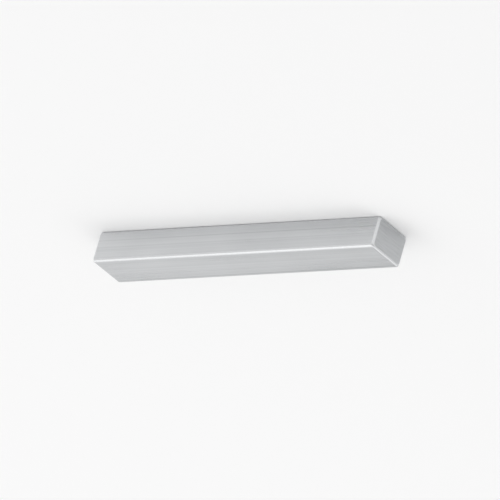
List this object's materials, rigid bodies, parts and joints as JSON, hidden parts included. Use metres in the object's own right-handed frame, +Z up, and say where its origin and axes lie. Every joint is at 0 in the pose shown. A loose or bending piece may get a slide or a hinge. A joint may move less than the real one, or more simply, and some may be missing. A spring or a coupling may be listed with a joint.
{
  "type": "parallel key",
  "caption": "Plain rectangular steel bar with square-cut ends and lightly rounded edges, which sits in matching keyways to lock a hub to its shaft.",
  "frame": {"origin": "middle of the broad face that the key lies on", "axes": "+X along the key from end to end, +Y across its width from side face to side face, +Z up through its height to the other broad face"},
  "size_m": [0.1174, 0.0158, 0.0111],
  "materials": {
    "key_steel": "bright cold-drawn steel, fine drawing lines along the length, ground end faces"
  },
  "bodies": {
    "root": {"parallel_key": "key_steel"}
  },
  "joints": []
}
